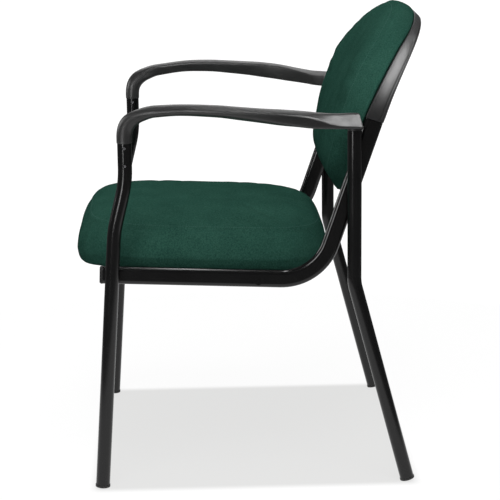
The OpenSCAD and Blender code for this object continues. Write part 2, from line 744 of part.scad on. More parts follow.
shell_rings = [
    each [
        for (k = [0.25, 0.5, 0.75, 0.97]) shell_ring(
            scaled_line(cavity_outline, k),
            function (s) rear_depth(s) - shell_wall + shell_bulge * (1 - k * k)
        )
    ],
    shell_ring(cavity_outline, function (s) rear_depth(s) - shell_wall - 3),
    shell_ring(cavity_outline, function (s) lip_depth + 1.5 + lip_shift(s)),
    shell_ring(shell_line(2), function (s) lip_depth + lip_shift(s)),
    shell_ring(shell_line(0.4), function (s) lip_depth + lip_shift(s)),
    shell_ring(shell_outline, function (s) lip_depth + 1 + lip_shift(s)),
    shell_ring(shell_outline, function (s) groove_depth(s) - 1),
    shell_ring(shell_line(1.4), function (s) groove_depth(s)),
    shell_ring(shell_line(0.3), function (s) groove_depth(s) + 1),
    shell_ring(shell_line(1.4), function (s) mix(groove_depth(s), rear_depth(s), 0.6)),
    shell_ring(shell_line(5), function (s) rear_depth(s) - 0.8),
    shell_ring(shell_line(11), function (s) rear_depth(s)),
    each [
        for (k = [0.75, 0.5, 0.25]) shell_ring(
            scaled_line(shell_outline, k),
            function (s) rear_depth(s) + shell_bulge * (1 - k * k)
        )
    ]
];

// The axis of the upright at its top, for the peg that plugs into it
module upright_axis() {
    aim(upright_top, upright_angle, rail_x) rotate([0, 0, 90]) children();
}

module peg_screw_axis() {
    translate([rail_x, 0, 0])
        translate([0, upright_top.x - 30 * cos(upright_angle), upright_top.y - 30 * sin(upright_angle)])
            rotate([0, 90, 0]) children();
}

// Places a child on the back's normal at x and s, its Z axis pointing to the rear
module back_normal(x, s) {
    translate(back_point(x, s, 0)) rotate([-90 - panel_angle(s), 0, 0]) children();
}

module back_screw_places() {
    for (s = back_screw_s, x = [-back_screw_x, back_screw_x]) back_normal(x, s) children();
}

module back_shell() {
    boss_d = 14;
    board_back = back_board_front + back_board_t + fit_gap;
    color(plastic_black) centred() difference() {
        union() {
            ringed_solid(
                back_point(0, back_mid_s, shell_depth_low - shell_wall + shell_bulge),
                shell_rings,
                back_point(0, back_mid_s, shell_depth_low + shell_bulge),
                true
            );
            for (m = [0, 1]) mirror([m, 0, 0]) upright_axis()
                translate([0, 0, -peg_len]) linear_extrude(peg_len + 14)
                    oval(rail_depth - 2 * rail_wall - fit_gap, rail_width - 2 * rail_wall - fit_gap);
            for (s = back_screw_s, x = [-back_screw_x, back_screw_x]) back_normal(x, s)
                translate([0, 0, board_back])
                    cylinder(d = boss_d, h = rear_depth(s) - board_back);
        }
        back_screw_places() cylinder(d = 4.6, h = 100);
        for (s = back_screw_s, x = [-back_screw_x, back_screw_x]) back_normal(x, s)
            translate([0, 0, rear_depth(s) - 2.5]) cylinder(d = 9.5, h = 20);
        for (m = [0, 1]) mirror([m, 0, 0]) peg_screw_axis()
            translate([0, 0, -20]) cylinder(d = screw_d - 0.6, h = 20);
    }
}

back_board_steps = [
    [0.3, 0], [0.6, 0], [0.85, 0], [1, 0], [1, back_board_t], [0.85, back_board_t], [0.6, back_board_t],
    [0.3, back_board_t]
];
back_board_rings = [
    for (e = back_board_steps) back_ring(function (a)
        at_depth(scaled_point(cushion_line(a, -20.5), e[0]), back_board_front + e[1])
    )
];

module back_board() {
    color(plywood) centred() difference() {
        ringed_solid(
            back_point(0, back_mid_s, back_board_front),
            back_board_rings,
            back_point(0, back_mid_s, back_board_front + back_board_t),
            true
        );
        back_screw_places() cylinder(d = 3.2, h = 100);
    }
}

module back_board_screws() {
    color(zinc) centred() for (s = back_screw_s, x = [-back_screw_x, back_screw_x]) back_normal(x, s) {
        seat = rear_depth(s) - 2.5;
        translate([0, 0, back_board_front + 1]) cylinder(d = 3.2, h = seat - back_board_front);
        translate([0, 0, seat]) cross_head(9, 2.2);
    }
}

module back_peg_screws() {
    face = rail_width / 2;
    color(zinc) centred() for (m = [0, 1]) mirror([m, 0, 0]) peg_screw_axis() mirror([0, 0, 1]) {
        translate([0, 0, 1]) cylinder(d = screw_d - 0.7, h = face);
        translate([0, 0, face]) cross_head(screw_head_d + 1, screw_head_t + 0.8);
    }
}

front_leg(true);  // front_leg_left
front_leg(false);  // front_leg_right
rear_leg(true);  // rear_leg_left
rear_leg(false);  // rear_leg_right
seat_rail(true);  // seat_rail_left
seat_rail(false);  // seat_rail_right
crossbar(front_bar_y);  // front_crossbar
crossbar(rear_bar_y);  // rear_crossbar
front_glide(true);  // front_glide_left
front_glide(false);  // front_glide_right
rear_glide(true);  // rear_glide_left
rear_glide(false);  // rear_glide_right
rail_cap(true);  // rail_cap_left
rail_cap(false);  // rail_cap_right
armrest(true);  // armrest_left
armrest(false);  // armrest_right
armrest_screws(true);  // armrest_screws_left
armrest_screws(false);  // armrest_screws_right
seat_cushion();
seat_board();
seat_dust_cover();
seat_bolts();
seat_tee_nuts();
crossbar_bolts();
back_shell();
back_cushion();
back_board();
back_board_screws();
back_peg_screws();
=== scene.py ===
import math

import bpy
import numpy as np
from mathutils import Matrix, Vector
from mathutils.bvhtree import BVHTree


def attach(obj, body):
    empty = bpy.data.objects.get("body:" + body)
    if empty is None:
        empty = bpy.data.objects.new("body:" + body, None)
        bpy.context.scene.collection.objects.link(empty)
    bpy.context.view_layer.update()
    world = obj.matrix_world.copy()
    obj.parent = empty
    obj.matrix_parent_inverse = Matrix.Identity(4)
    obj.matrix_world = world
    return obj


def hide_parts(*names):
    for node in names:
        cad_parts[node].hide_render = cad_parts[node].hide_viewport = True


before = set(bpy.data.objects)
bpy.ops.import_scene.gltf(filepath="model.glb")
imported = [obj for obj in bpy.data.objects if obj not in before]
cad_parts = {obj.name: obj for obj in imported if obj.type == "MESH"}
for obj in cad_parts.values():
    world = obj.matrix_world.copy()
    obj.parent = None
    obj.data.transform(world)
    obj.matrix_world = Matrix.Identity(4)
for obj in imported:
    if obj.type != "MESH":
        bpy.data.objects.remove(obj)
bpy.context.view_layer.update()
scene = bpy.context.scene

# The drawing below is in millimetres, and in y as in the part's source: CENTRING moves it
# to the middle of the frame.
CENTRING = -8.0

# Seat rails, whose axis falls to the rear, and posts that carry the armrests
RAIL_SLOPE = 0.0437
RAIL_START_Y = -224.5
RAIL_START_Z = 389.4
LEG_X = 285.0
LEG_D = 25.0
FRONT_POST_Y = -216.8
REAR_POST_Y = 183.8

# Seat cushion: outlines, heights above the rails, and how much lower its front or rear is
SEAT_SQUARENESS = 3.8
SEAT_HALF_W = 247.0
SEAT_HALF_L = 233.5
SEAT_MID_Y = -83.5
CREASE_HALF_W = 214.0
CREASE_HALF_L = 218.5
CREASE_MID_Y = -77.0
CREASE_H = 78.4
CREASE_FRONT_DROP = 5.5
CREASE_REAR_DROP = 8
CROWN_H = 107.0
CROWN_FRONT_DROP = 4
RIM_H = 32.0
RIM_FRONT_DROP = 16
UNDER_H = 7.0
UNDER_FRONT_DROP = 15
BOARD_INSET = 16.0
COVER_INSET = BOARD_INSET + 6
BOARD_TOP = 14.0

# Back. Along it, s is the height that a point would have on an upright back, and depth is the
# distance behind the front panel.
LUMBAR_Z = 556.0
LUMBAR_Y = 148.0
SWEEP = 0.00166
TUCK = 0.0075
BACK_MID = 665.0
BACK_TOP = 842.0
BACK_FOOT = 499.0
SHELL_MID = 679.0
SHELL_TOP = 853.0
SHELL_FOOT = 492.0
BACK_HALF_W = 272.2
PANEL_HALF_W = 215.0
PANEL_CROWN = 8.0
UPPER_PUFF = 5.5
LIP_DEPTH = 34.5
LIP_FOOT_RISE = 4
LIP_FOOT = (510, 540)
CUSHION_REAR = 34.0
FOAM_DEPTH = 28.7
WAIST = 10
WAIST_END = 0.7
# Soft humps along the back, each as height, middle and width
LIP_FALL = (3.5, 835, 25)
LUMBAR_SWELL = (3.2, 566, 26)
LUMBAR_HOLLOW = (3.8, 524, 14)


# Meshes

def metres(points):
    points = np.array(points, float)
    points[..., 1] += CENTRING
    return points / 1000.0


def new_mesh(name, points, faces, smooth=True, sharp=None):
    mesh = bpy.data.meshes.new(name)
    mesh.from_pydata([tuple(p) for p in metres(points)], [], [list(f) for f in faces])
    mesh.validate()
    if smooth:
        mesh.shade_smooth()
    if sharp is not None:
        mesh.set_sharp_from_angle(angle=math.radians(sharp))
    return mesh


def new_object(name, mesh, material=None):
    obj = bpy.data.objects.new(name, mesh)
    scene.collection.objects.link(obj)
    if material is not None:
        mesh.materials.append(material)
    return obj


def ring_faces(rings, n, flip=False):
    faces = []
    for i in range(rings - 1):
        for j in range(n):
            a = i * n + j
            b = i * n + (j + 1) % n
            quad = (a, b, b + n, a + n)
            faces.append(quad[::-1] if flip else quad)
    return faces


def closed_rings(grid, start, finish, flip=False):
    """Points and faces of a closed form: an end point, rings of points, an end point."""
    rings, n, _ = grid.shape
    points = np.vstack([grid.reshape(-1, 3), [start], [finish]])
    faces = ring_faces(rings, n, flip)
    first, last = rings * n, rings * n + 1
    for j in range(n):
        low = (first, (j + 1) % n, j)
        high = (last, (rings - 1) * n + j, (rings - 1) * n + (j + 1) % n)
        faces.append(low[::-1] if flip else low)
        faces.append(high[::-1] if flip else high)
    return points, faces


def grid_normals(grid):
    """Outward normals of a grid of rings that run anticlockwise about the way they follow."""
    around = np.roll(grid, -1, axis=1) - np.roll(grid, 1, axis=1)
    along = np.gradient(grid, axis=0)
    normal = np.cross(around, along)
    length = np.linalg.norm(normal, axis=2, keepdims=True)
    return normal / np.maximum(length, 1e-9)


def power(v, n):
    return np.sign(v) * np.abs(v) ** n


def mix(a, b, t):
    return a * (1 - t) + b * t


def smooth(v, low, high):
    """A smooth step from 0 at low to 1 at high."""
    t = np.clip((v - low) / (high - low), 0, 1)
    return t * t * (3 - 2 * t)


def hump(v, height, middle, width):
    return height * np.exp(-((v - middle) / width) ** 2)


def spline(a, b, c, d, t):
    """The point at t from b to c on a smooth curve through all four."""
    return 0.5 * (2 * b + (c - a) * t + (2 * a - 5 * b + 4 * c - d) * t * t
                  + (3 * b - a - 3 * c + d) * t ** 3)


def even_angles(outline, count):
    """Angles at which an outline's points are evenly spaced along it."""
    fine = np.linspace(0, 2 * math.pi, 40001)
    p = outline(fine)
    run = np.concatenate([[0], np.cumsum(np.linalg.norm(np.diff(p, axis=0), axis=1))])
    return np.interp(np.arange(count) * run[-1] / count, run, fine)


def blur(values, around, along):
    """Smooths a field given by ring and by angle."""
    for _ in range(around):
        values = (np.roll(values, 1, 1) + 2 * values + np.roll(values, -1, 1)) / 4
    for _ in range(along):
        padded = np.vstack([values[:1], values, values[-1:]])
        values = (padded[:-2] + 2 * padded[1:-1] + padded[2:]) / 4
    return values


def waves(seed, angle, count, low, high):
    """A smooth closed curve of small random waves round an outline, between -1 and 1."""
    rng = np.random.default_rng(seed)
    total = np.zeros_like(angle)
    for _ in range(count):
        total = total + rng.uniform(0.4, 1) * np.sin(rng.integers(low, high) * angle + rng.uniform(0, 6.28))
    return total / count


# Seat cushion's form, as in the part's source

def rail_z(y):
    return RAIL_START_Z - RAIL_SLOPE * (y - RAIL_START_Y)


def seat_outline(a, half_w, half_l, grow=0.0, mid=SEAT_MID_Y):
    n = 2 / SEAT_SQUARENESS
    return np.stack([
        (half_w + grow) * power(np.cos(a), n),
        mid + (half_l + grow) * power(np.sin(a), n),
    ], axis=-1)


def seat_edge(a, grow=0.0):
    return seat_outline(a, SEAT_HALF_W, SEAT_HALF_L, grow)


def seat_crease_line(a, grow=0.0):
    return seat_outline(a, CREASE_HALF_W, CREASE_HALF_L, grow, CREASE_MID_Y)


def seat_front(a):
    return np.maximum(0, -np.sin(a)) ** 3


def seat_rear(a):
    return np.maximum(0, np.sin(a)) ** 3


def seat_crease(a):
    return CREASE_H - CREASE_FRONT_DROP * seat_front(a) - CREASE_REAR_DROP * seat_rear(a)


def seat_rim(a):
    return RIM_H - RIM_FRONT_DROP * seat_front(a)


def seat_point(p, h):
    h = np.broadcast_to(h, p.shape[:-1])
    return np.stack([p[..., 0], p[..., 1], rail_z(p[..., 1]) + h], axis=-1)


def seat_crown(a, rho):
    """A ring of the crowned top, at the share rho of the way from its middle to the crease."""
    edge = seat_crease_line(a)
    p = np.stack([edge[:, 0] * rho, mix(CREASE_MID_Y, edge[:, 1], rho)], axis=-1)
    # The top is flatter, and its shoulder fuller, toward the front and the rear
    flatness = 2.4 + 2 * seat_front(a) + 1.5 * seat_rear(a)
    shoulder = 1.15 + 0.4 * seat_front(a) + 0.4 * seat_rear(a)
    dome = np.maximum(0, 1 - rho ** flatness) ** (1 / shoulder)
    fall = CROWN_FRONT_DROP * seat_front(a) * smooth(rho, 0.05, 0.65)
    return seat_point(p, mix(seat_crease(a), CROWN_H - fall, dome))


def seat_band(a, t, puff):
    """A ring of the side band, from its rim at t = 0 to just under the crease at t = 1."""
    low = seat_edge(a, puff)
    high = seat_crease_line(a, 1 + puff)
    lean = t * t * 0.6 + t * 0.4
    return seat_point(mix(low, high, lean), mix(seat_rim(a), seat_crease(a) - 3, t))


def smooth_profile(keys, steps):
    """Rings on smooth curves through the key rings, from the first to the last."""
    keys = [keys[0] * 2 - keys[1]] + keys + [keys[-1] * 2 - keys[-2]]
    rings = []
    for i in range(1, len(keys) - 2):
        a, b, c, d = keys[i - 1:i + 3]
        rings += [spline(a, b, c, d, k / steps) for k in range(steps)]
    rings.append(keys[-2])
    return rings


def seat_grid(a):
    """Rings of the seat from the board's pocket, round the side band, to the crown's middle."""
    pocket = seat_edge(a, -BOARD_INSET + 0.9)
    middle = np.array([0, SEAT_MID_Y])
    rings = [seat_point(mix(middle, pocket, k), BOARD_TOP + 0.3) for k in (0.5, 0.8, 0.97, 1.0)]
    rings.append(seat_point(pocket, UNDER_H - 4))
    under = UNDER_H - UNDER_FRONT_DROP * seat_front(a)
    keys = [
        seat_point(seat_edge(a, -7), under),
        seat_point(seat_edge(a, -2.5), under + 5),
        seat_point(seat_edge(a), seat_rim(a) - 8),
        seat_band(a, 0, 0),
        seat_band(a, 0.35, 1),
        seat_band(a, 0.7, 1),
        seat_band(a, 1, 0),
    ]
    rings += smooth_profile(keys, 5)
    seam = len(rings)
    rho = np.concatenate([[1.0, 0.992, 0.98], np.linspace(0.96, 0.03, 42)])
    rings += [seat_crown(a, r) for r in rho]
    return np.array(rings), seam


# Back's form, as in the part's source

def panel_y(s):
    return LUMBAR_Y + np.where(s > LUMBAR_Z, SWEEP, TUCK) * (s - LUMBAR_Z) ** 2


def panel_angle(s):
    return np.where(s > LUMBAR_Z, np.arctan(2 * SWEEP * (s - LUMBAR_Z)), 0)


def back_points(p, d):
    """Places points given as x and s at a depth on the leaning, bent back."""
    x, s = p[..., 0], p[..., 1]
    angle = panel_angle(s)
    return np.stack([x, panel_y(s) + d * np.cos(angle), s - d * np.sin(angle)], axis=-1)


def back_oval(a, half_w, mid, top, foot, n_up, n_down, narrow):
    """An outline with its own power above and below the middle, drawn in below it by narrow."""
    up = np.sin(a) > 0
    n = np.where(up, 2 / n_up, 2 / n_down)
    t = power(np.sin(a), n)
    x = half_w * power(np.cos(a), n)
    drop = np.clip(-t, 0, 1)
    waist = np.where(drop < WAIST_END, narrow * np.sin(drop / WAIST_END * math.pi) ** 2, 0)
    x = np.sign(x) * np.maximum(0, np.abs(x) - np.where(up, 0, waist))
    return np.stack([x, mid + t * np.where(up, top - mid, mid - foot)], axis=-1)


def back_crease(a, grow=0.0):
    return back_oval(a, PANEL_HALF_W + grow, BACK_MID, BACK_TOP + grow, BACK_FOOT - grow,
                     2.3, 2.4, WAIST)


def back_edge(a, grow=0.0):
    return back_oval(a, BACK_HALF_W - 8 + grow, SHELL_MID, SHELL_TOP + 0.5 + grow,
                     SHELL_FOOT + 3 - grow, 2, 2.3, WAIST)


def front_points(p, d, share=1.0):
    """Points on the cushion's front, which is fuller at the lumbar line and drawn in below it."""
    s = p[..., 1]
    form = hump(s, *LUMBAR_SWELL) - hump(s, *LUMBAR_HOLLOW)
    return back_points(p, d - share * form)


def back_crown(a, rho):
    """A ring of the front panel, at the share rho of the way from its middle to the crease."""
    edge = back_crease(a)
    p = np.stack([edge[:, 0] * rho, mix(BACK_MID, edge[:, 1], rho)], axis=-1)
    up = np.clip(2.5 * np.sin(a), 0, 1)
    puff = (PANEL_CROWN + UPPER_PUFF * smooth(rho, 0.4, 0.8)) * (1 - rho ** 12)
    proud = mix(PANEL_CROWN * (1 - rho * rho), puff, up)
    return front_points(p, 1.5 - proud - 1.5 * rho ** 8)


def lip_shift(s):
    """The shell's lip lies further back near the top and further forward at the foot."""
    return hump(s, *LIP_FALL) - LIP_FOOT_RISE * (1 - smooth(s, *LIP_FOOT))


def rear_edge(p, d):
    return back_points(p, d + lip_shift(p[..., 1]))


def back_grid(a):
    """Rings of the back cushion from the board's pocket, round the side, to the front's middle."""
    inner = back_edge(a, -20)
    middle = np.array([0, BACK_MID])
    rings = [back_points(mix(middle, inner, k), FOAM_DEPTH) for k in (0.5, 0.8, 0.97, 1.0)]
    rings.append(back_points(inner, CUSHION_REAR + 2))
    keys = [
        rear_edge(back_edge(a, -9), CUSHION_REAR + 1.6),
        rear_edge(back_edge(a, -2), CUSHION_REAR + 0.4),
        rear_edge(back_edge(a), CUSHION_REAR - 4.8),
        back_points(mix(back_edge(a, 2), back_crease(a, 2), 0.28), 21.0),
        front_points(mix(back_edge(a, 2.5), back_crease(a, 2.5), 0.62), 10.0, 0.6),
        front_points(back_crease(a, 3.5), 2.5),
    ]
    rings += smooth_profile(keys, 6)
    seam = len(rings)
    rings.append(front_points(back_crease(a, 0.8), 1.6))
    rho = np.concatenate([[0.99, 0.975], np.linspace(0.95, 0.03, 38)])
    rings += [back_crown(a, r) for r in rho]
    return np.array(rings), seam


# Swelling of a cushion by cloth simulation

VOXEL_M = 0.006
PRESSURE = 4
FRAMES = 20
SWELL_CAP = 25.0


def swell(name, grid, start, finish, held, inset):
    """How far a blown-up copy of the form stands from the form, by ring and by angle, in mm."""
    normals = grid_normals(grid)
    small = grid - normals * (inset * (1 - held))[..., None]
    points, faces = closed_rings(small, start, finish)
    mesh = new_mesh(name, points, faces)
    obj = new_object(name, mesh)
    bpy.ops.object.select_all(action="DESELECT")
    obj.select_set(True)
    bpy.context.view_layer.objects.active = obj
    mesh.remesh_voxel_size = VOXEL_M
    bpy.ops.object.voxel_remesh()
    mesh = obj.data

    flat = metres(grid).reshape(-1, 3)
    weights = held.reshape(-1)
    form_faces = ring_faces(grid.shape[0], grid.shape[1])
    lookup = BVHTree.FromPolygons([Vector(p) for p in flat], form_faces)
    rest = np.array([v.co[:] for v in mesh.vertices])
    pin = obj.vertex_groups.new(name="pin")
    for v in mesh.vertices:
        _, _, index, _ = lookup.find_nearest(v.co)
        weight = float(np.mean([weights[k] for k in form_faces[index]]))
        pin.add([v.index], weight, "REPLACE")

    cloth = obj.modifiers.new("Cloth", "CLOTH")
    settings = cloth.settings
    settings.quality = 5
    settings.mass = 0.3
    settings.tension_stiffness = 12
    settings.compression_stiffness = 12
    settings.shear_stiffness = 6
    settings.bending_stiffness = 0.4
    settings.use_pressure = True
    settings.uniform_pressure_force = PRESSURE
    settings.effector_weights.gravity = 0
    settings.vertex_group_mass = "pin"
    cloth.point_cache.frame_start = 1
    cloth.point_cache.frame_end = FRAMES
    for number in range(1, FRAMES + 1):
        scene.frame_set(number)
    bpy.ops.object.modifier_apply(modifier="Cloth")
    moved = np.array([v.co[:] for v in obj.data.vertices])
    step = moved - rest
    length = np.linalg.norm(step, axis=1, keepdims=True)
    moved = rest + step * np.minimum(1, SWELL_CAP / 1000 / np.maximum(length, 1e-9))
    blown_faces = [tuple(p.vertices) for p in obj.data.polygons]
    tree = BVHTree.FromPolygons([Vector(p) for p in moved], blown_faces)
    bpy.data.objects.remove(obj)
    scene.frame_set(1)

    away = np.zeros(len(flat))
    facing = normals.reshape(-1, 3)
    for k, p in enumerate(flat):
        n = Vector(facing[k])
        near, _, _, _ = tree.find_nearest(Vector(p))
        away[k] = (near - Vector(p)).dot(n) * 1000
    return away.reshape(grid.shape[:2])


# Node materials

class Finish:
    """A material with one Principled shader, and short ways to add nodes to it."""

    def __init__(self, name):
        self.material = bpy.data.materials.new(name)
        self.material.use_nodes = True
        self.tree = self.material.node_tree
        self.tree.nodes.clear()
        self.shader = self.tree.nodes.new("ShaderNodeBsdfPrincipled")
        self.output = self.tree.nodes.new("ShaderNodeOutputMaterial")
        self.tree.links.new(self.shader.outputs[0], self.output.inputs[0])
        place = self.tree.nodes.new("ShaderNodeTexCoord")
        self.place = place.outputs["Object"]
        self.normal = place.outputs["Normal"]

    def add(self, kind, *inputs, out=0, **settings):
        node = self.tree.nodes.new(kind)
        for key, value in settings.items():
            setattr(node, key, value)
        for key, value in enumerate(inputs):
            if isinstance(value, bpy.types.NodeSocket):
                self.tree.links.new(value, node.inputs[key])
            else:
                node.inputs[key].default_value = value
        return node.outputs[out]

    def math(self, operation, a, b=0.0):
        return self.add("ShaderNodeMath", a, b, operation=operation)

    def noise(self, size, detail=2.0, rough=0.5, place=None):
        """Noise with features of about that size in mm."""
        node = self.tree.nodes.new("ShaderNodeTexNoise")
        self.tree.links.new(place or self.place, node.inputs["Vector"])
        node.inputs["Scale"].default_value = 1000 / size
        node.inputs["Detail"].default_value = detail
        node.inputs["Roughness"].default_value = rough
        return node.outputs["Fac"]

    def cells(self, size):
        """Distance to the nearest of many scattered points, about that far apart in mm."""
        node = self.tree.nodes.new("ShaderNodeTexVoronoi")
        self.tree.links.new(self.place, node.inputs["Vector"])
        node.inputs["Scale"].default_value = 1000 / size
        return node.outputs["Distance"]

    def span(self, value, low, high, to_low=0.0, to_high=1.0):
        return self.add("ShaderNodeMapRange", value, low, high, to_low, to_high)

    def blend(self, factor, a, b):
        node = self.tree.nodes.new("ShaderNodeMix")
        node.data_type = "RGBA"
        for key, value in ((0, factor), (6, a), (7, b)):
            if isinstance(value, bpy.types.NodeSocket):
                self.tree.links.new(value, node.inputs[key])
            else:
                node.inputs[key].default_value = value
        return node.outputs[2]

    def set(self, name, value):
        if isinstance(value, bpy.types.NodeSocket):
            self.tree.links.new(value, self.shader.inputs[name])
        else:
            self.shader.inputs[name].default_value = value

    def bump(self, height, strength, distance):
        node = self.tree.nodes.new("ShaderNodeBump")
        node.inputs["Strength"].default_value = strength
        node.inputs["Distance"].default_value = distance / 1000
        self.tree.links.new(height, node.inputs["Height"])
        self.tree.links.new(node.outputs[0], self.shader.inputs["Normal"])


def rgb(r, g, b):
    return (r, g, b, 1.0)


WHITE = rgb(1, 1, 1)


def fabric(name, dark, light, thread=1.5):
    """A plain-weave upholstery cloth with a flecked yarn."""
    f = Finish(name)
    wander = f.noise(9, 1)
    wobble = f.math("MULTIPLY", f.math("SUBTRACT", wander, 0.5), 0.0035)
    parts = f.add("ShaderNodeSeparateXYZ", f.add("ShaderNodeVectorMath", f.place, wobble, operation="ADD"))
    turn = 2 * math.pi * 1000 / (2 * thread)
    waves_of = [f.math("SINE", f.math("MULTIPLY", parts.node.outputs[k], turn)) for k in range(3)]
    facing = f.add("ShaderNodeSeparateXYZ", f.normal)
    weave = None
    for k in range(3):
        weight = f.math("POWER", f.math("ABSOLUTE", facing.node.outputs[k]), 2.0)
        pair = f.math("MULTIPLY", waves_of[(k + 1) % 3], waves_of[(k + 2) % 3])
        term = f.math("MULTIPLY", weight, pair)
        weave = term if weave is None else f.math("ADD", weave, term)
    fleck = f.noise(2.6, 2, 0.65)
    mottle = f.noise(55, 3, 0.55)
    tone = f.math("ADD", f.math("MULTIPLY", weave, 0.13), f.span(fleck, 0.28, 0.72, 0.1, 0.78))
    tone = f.math("ADD", tone, f.span(mottle, 0.3, 0.7, -0.08, 0.12))
    f.set("Base Color", f.blend(tone, dark, light))
    f.set("Roughness", f.span(fleck, 0.3, 0.7, 0.82, 0.95))
    f.shader.inputs["Specular IOR Level"].default_value = 0.0
    height = f.math("ADD", f.math("MULTIPLY", weave, 0.5), f.math("MULTIPLY", fleck, 0.8))
    f.bump(height, 0.45, 0.5)
    return f.material


def black_paint(name):
    """A smooth black paint on steel, with a faint orange peel, faint scuffs, and near the floor lighter,
    duller marks that are wear and painted light from the floor.
    """
    f = Finish(name)
    peel = f.noise(3.2, 2, 0.5)
    patch = f.noise(60, 3, 0.6)
    scratch = f.noise(5.5, 4, 0.7)
    height = f.add("ShaderNodeSeparateXYZ", f.place).node.outputs[2]
    # Near the floor the scuff marks grow much lighter and duller: painted light from the floor, as well as
    # wear.
    low = f.span(height, 0.02, 0.12, 1.0, 0.0)
    scuff_and_floor_light = f.math("MULTIPLY", f.span(scratch, 0.6, 0.72), f.math("ADD", f.math("MULTIPLY", low, 0.5), 0.04))
    tone = f.blend(f.span(patch, 0.3, 0.7), rgb(0.0022, 0.0022, 0.0024), rgb(0.0038, 0.0037, 0.0038))
    f.set("Base Color", f.blend(scuff_and_floor_light, tone, rgb(0.04, 0.039, 0.037)))
    f.set("Roughness", f.math("ADD", f.span(patch, 0.3, 0.7, 0.16, 0.2), f.math("MULTIPLY", scuff_and_floor_light, 0.4)))
    f.shader.inputs["Specular IOR Level"].default_value = 0.45
    f.bump(peel, 0.03, 0.3)
    return f.material


def moulded_plastic(name, dark, light, grain, rough, level=0.45):
    """A black moulded plastic with a fine pebbled grain."""
    f = Finish(name)
    pebble = f.cells(grain)
    soft = f.noise(grain * 1.7, 2, 0.6)
    patch = f.noise(70, 2, 0.5)
    rub = f.noise(14, 4, 0.62)
    grain_height = f.math("ADD", f.math("MULTIPLY", pebble, -0.9), f.math("MULTIPLY", soft, 0.5))
    tone = f.math("ADD", f.span(patch, 0.3, 0.7, 0.2, 0.7), f.span(pebble, 0.1, 0.7, 0.15, -0.15))
    f.set("Base Color", f.blend(tone, dark, light))
    worn = f.span(rub, 0.35, 0.7, rough, rough + 0.1)
    f.set("Roughness", f.math("ADD", worn, f.span(pebble, 0, 0.6, -0.03, 0.05)))
    f.shader.inputs["Specular IOR Level"].default_value = level
    f.bump(grain_height, 0.22, 0.25)
    return f.material


def plywood(name):
    """Birch plywood: grain along X on the faces and thin plies on the edge."""
    f = Finish(name)
    stretch = f.add("ShaderNodeVectorMath", f.place, (0.07, 1.0, 1.0), operation="MULTIPLY")
    grain = f.noise(5, 4, 0.65, stretch)
    fine = f.noise(0.9, 2, 0.6, stretch)
    height = f.add("ShaderNodeSeparateXYZ", f.place).node.outputs[2]
    ply = f.math("SINE", f.math("MULTIPLY", height, 2 * math.pi * 1000 / 3.0))
    facing = f.add("ShaderNodeSeparateXYZ", f.normal).node.outputs[2]
    side = f.span(f.math("ABSOLUTE", facing), 0.2, 0.6, 1.0, 0.0)
    tone = f.math("ADD", f.span(grain, 0.3, 0.7, 0.1, 0.8), f.math("MULTIPLY", fine, 0.15))
    tone = f.math("ADD", tone, f.math("MULTIPLY", f.math("MULTIPLY", ply, side), 0.25))
    f.set("Base Color", f.blend(tone, rgb(0.36, 0.21, 0.1), rgb(0.62, 0.44, 0.25)))
    f.set("Roughness", f.span(grain, 0.3, 0.7, 0.55, 0.72))
    f.bump(fine, 0.2, 0.2)
    return f.material


def zinc_steel(name):
    """Zinc-plated steel, finely brushed, with dull patches."""
    f = Finish(name)
    stretch = f.add("ShaderNodeVectorMath", f.place, (1.0, 1.0, 0.15), operation="MULTIPLY")
    brush = f.noise(0.5, 3, 0.6, stretch)
    patch = f.noise(6, 3, 0.6)
    f.set("Base Color", f.blend(f.span(patch, 0.3, 0.7), rgb(0.13, 0.13, 0.135), rgb(0.26, 0.26, 0.27)))
    f.set("Roughness", f.math("ADD", f.span(patch, 0.3, 0.7, 0.26, 0.4), f.math("MULTIPLY", brush, 0.08)))
    f.shader.inputs["Metallic"].default_value = 1.0
    f.bump(brush, 0.1, 0.1)
    return f.material


def nonwoven(name):
    """Thin black non-woven cover cloth."""
    f = Finish(name)
    fibre = f.noise(1.1, 4, 0.75)
    dots = f.cells(1.8)
    patch = f.noise(40, 2, 0.5)
    tone = f.math("ADD", f.span(fibre, 0.3, 0.7, 0.1, 0.8), f.span(patch, 0.3, 0.7, -0.1, 0.1))
    f.set("Base Color", f.blend(tone, rgb(0.008, 0.008, 0.009), rgb(0.022, 0.022, 0.023)))
    f.set("Roughness", f.span(fibre, 0.3, 0.7, 0.85, 0.98))
    f.bump(f.math("ADD", fibre, f.math("MULTIPLY", dots, 0.6)), 0.3, 0.2)
    return f.material


GREEN_DARK = rgb(0.008, 0.034, 0.025)
GREEN_LIGHT = rgb(0.028, 0.085, 0.063)
seat_cloth = fabric("seat_cloth", GREEN_DARK, GREEN_LIGHT)
back_cloth = fabric("back_cloth", GREEN_DARK, GREEN_LIGHT)
paint = black_paint("black_steel_paint")
arm_plastic = moulded_plastic(
    "arm_plastic", rgb(0.008, 0.008, 0.0084), rgb(0.018, 0.0177, 0.0174), 0.9, 0.34, 0.6)
shell_plastic = moulded_plastic(
    "shell_plastic", rgb(0.010, 0.010, 0.0105), rgb(0.018, 0.0178, 0.0178), 1.0, 0.32, 0.6)
cap_plastic = moulded_plastic("cap_plastic", rgb(0.008, 0.008, 0.0082), rgb(0.015, 0.0148, 0.0147), 0.8, 0.38)
glide_plastic = moulded_plastic("glide_plastic", rgb(0.014, 0.014, 0.014), rgb(0.03, 0.029, 0.028), 0.8, 0.5)
board_wood = plywood("board_plywood")
plated = zinc_steel("fastener_zinc")
under_cloth = nonwoven("cover_cloth")


# Seat and back cushions

